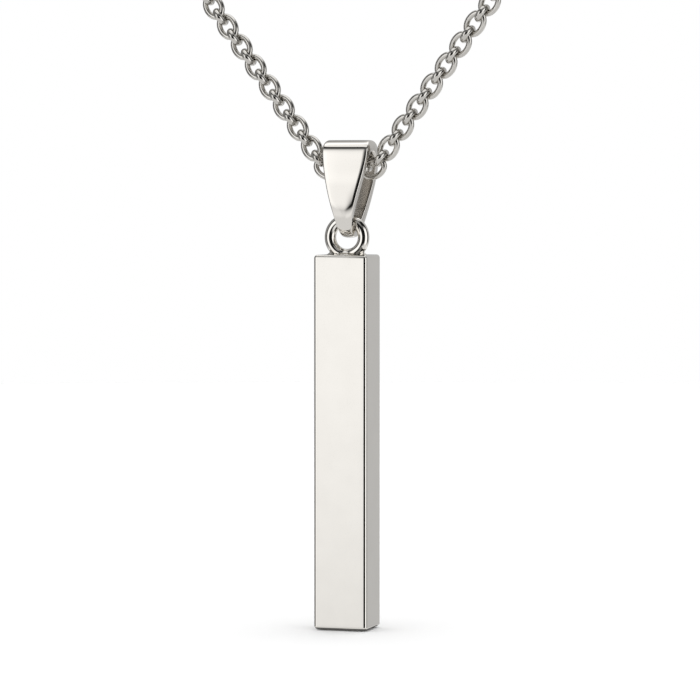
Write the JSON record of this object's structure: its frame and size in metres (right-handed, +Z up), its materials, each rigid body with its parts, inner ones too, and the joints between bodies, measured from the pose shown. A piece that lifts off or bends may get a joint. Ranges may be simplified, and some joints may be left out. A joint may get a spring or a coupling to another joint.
{
  "type": "bar pendant necklace",
  "caption": "Rectangular polished steel bar with a soldered eye ring, hooked on a tapered folded bail and hung on a closed loop of cable chain with a plain clasp.",
  "frame": {"origin": "the nape: the underside of the clasp at the top of the chain's loop, where the necklace hangs from", "axes": "+Z up, the bar hangs towards -Z and faces -Y, +X to the wearer's left as seen from the front on the right"},
  "size_m": [0.1288, 0.0051, 0.2114],
  "materials": {
    "bar_metal": "mirror polish with faint hairline scratches",
    "bail_metal": "mirror polish, greyer inside the loop",
    "chain_metal": "bright tumbled polish, darker where links touch",
    "clasp_metal": "bright polish"
  },
  "bodies": {
    "chain": {"chain_front": "chain_metal", "chain_back_left": "chain_metal", "chain_back_right": "chain_metal", "clasp": "clasp_metal"},
    "bail": {"bail": "bail_metal"},
    "bar": {"bar": "bar_metal"}
  },
  "joints": [
    {"name": "bail_swing", "type": "hinge", "parent": "chain", "child": "bail", "pos_m": [0, 0, -0.16635], "axis": [1, 0, 0], "range_deg": [-75, 75]},
    {"name": "bar_swing", "type": "hinge", "parent": "bail", "child": "bar", "pos_m": [-0.0003, 0, -0.171], "axis": [1, 0, 0], "range_deg": [-75, 75]}
  ]
}
